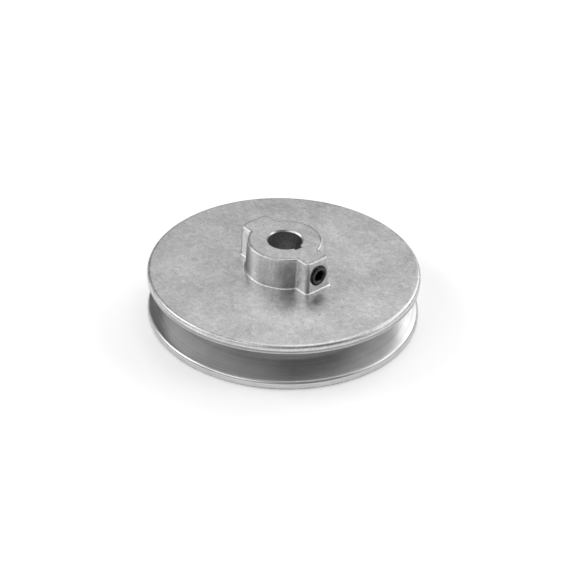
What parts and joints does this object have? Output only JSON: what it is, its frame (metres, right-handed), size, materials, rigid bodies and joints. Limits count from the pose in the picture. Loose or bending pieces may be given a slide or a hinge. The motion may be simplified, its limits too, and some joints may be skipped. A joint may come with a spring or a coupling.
{
  "type": "v belt pulley",
  "caption": "Die-cast V-belt pulley with a single groove, a keyed bore and a hub boss that holds a socket set screw.",
  "frame": {"origin": "the middle of the bore at the back face, which is the flat side without the hub", "axes": "+Z along the shaft's axis towards the hub end, +X out through the set screw"},
  "size_m": [0.1016, 0.1016, 0.0312],
  "materials": {
    "cast_zinc": "satin",
    "black_oxide_steel": "satin"
  },
  "bodies": {
    "pulley": {"pulley_casting": "cast_zinc"},
    "set_screw": {"set_screw": "black_oxide_steel"}
  },
  "joints": [
    {"name": "set_screw_travel", "type": "slide", "parent": "pulley", "child": "set_screw", "axis": [1, 0, 0], "range_m": [-0.0037, 0.0055]}
  ]
}
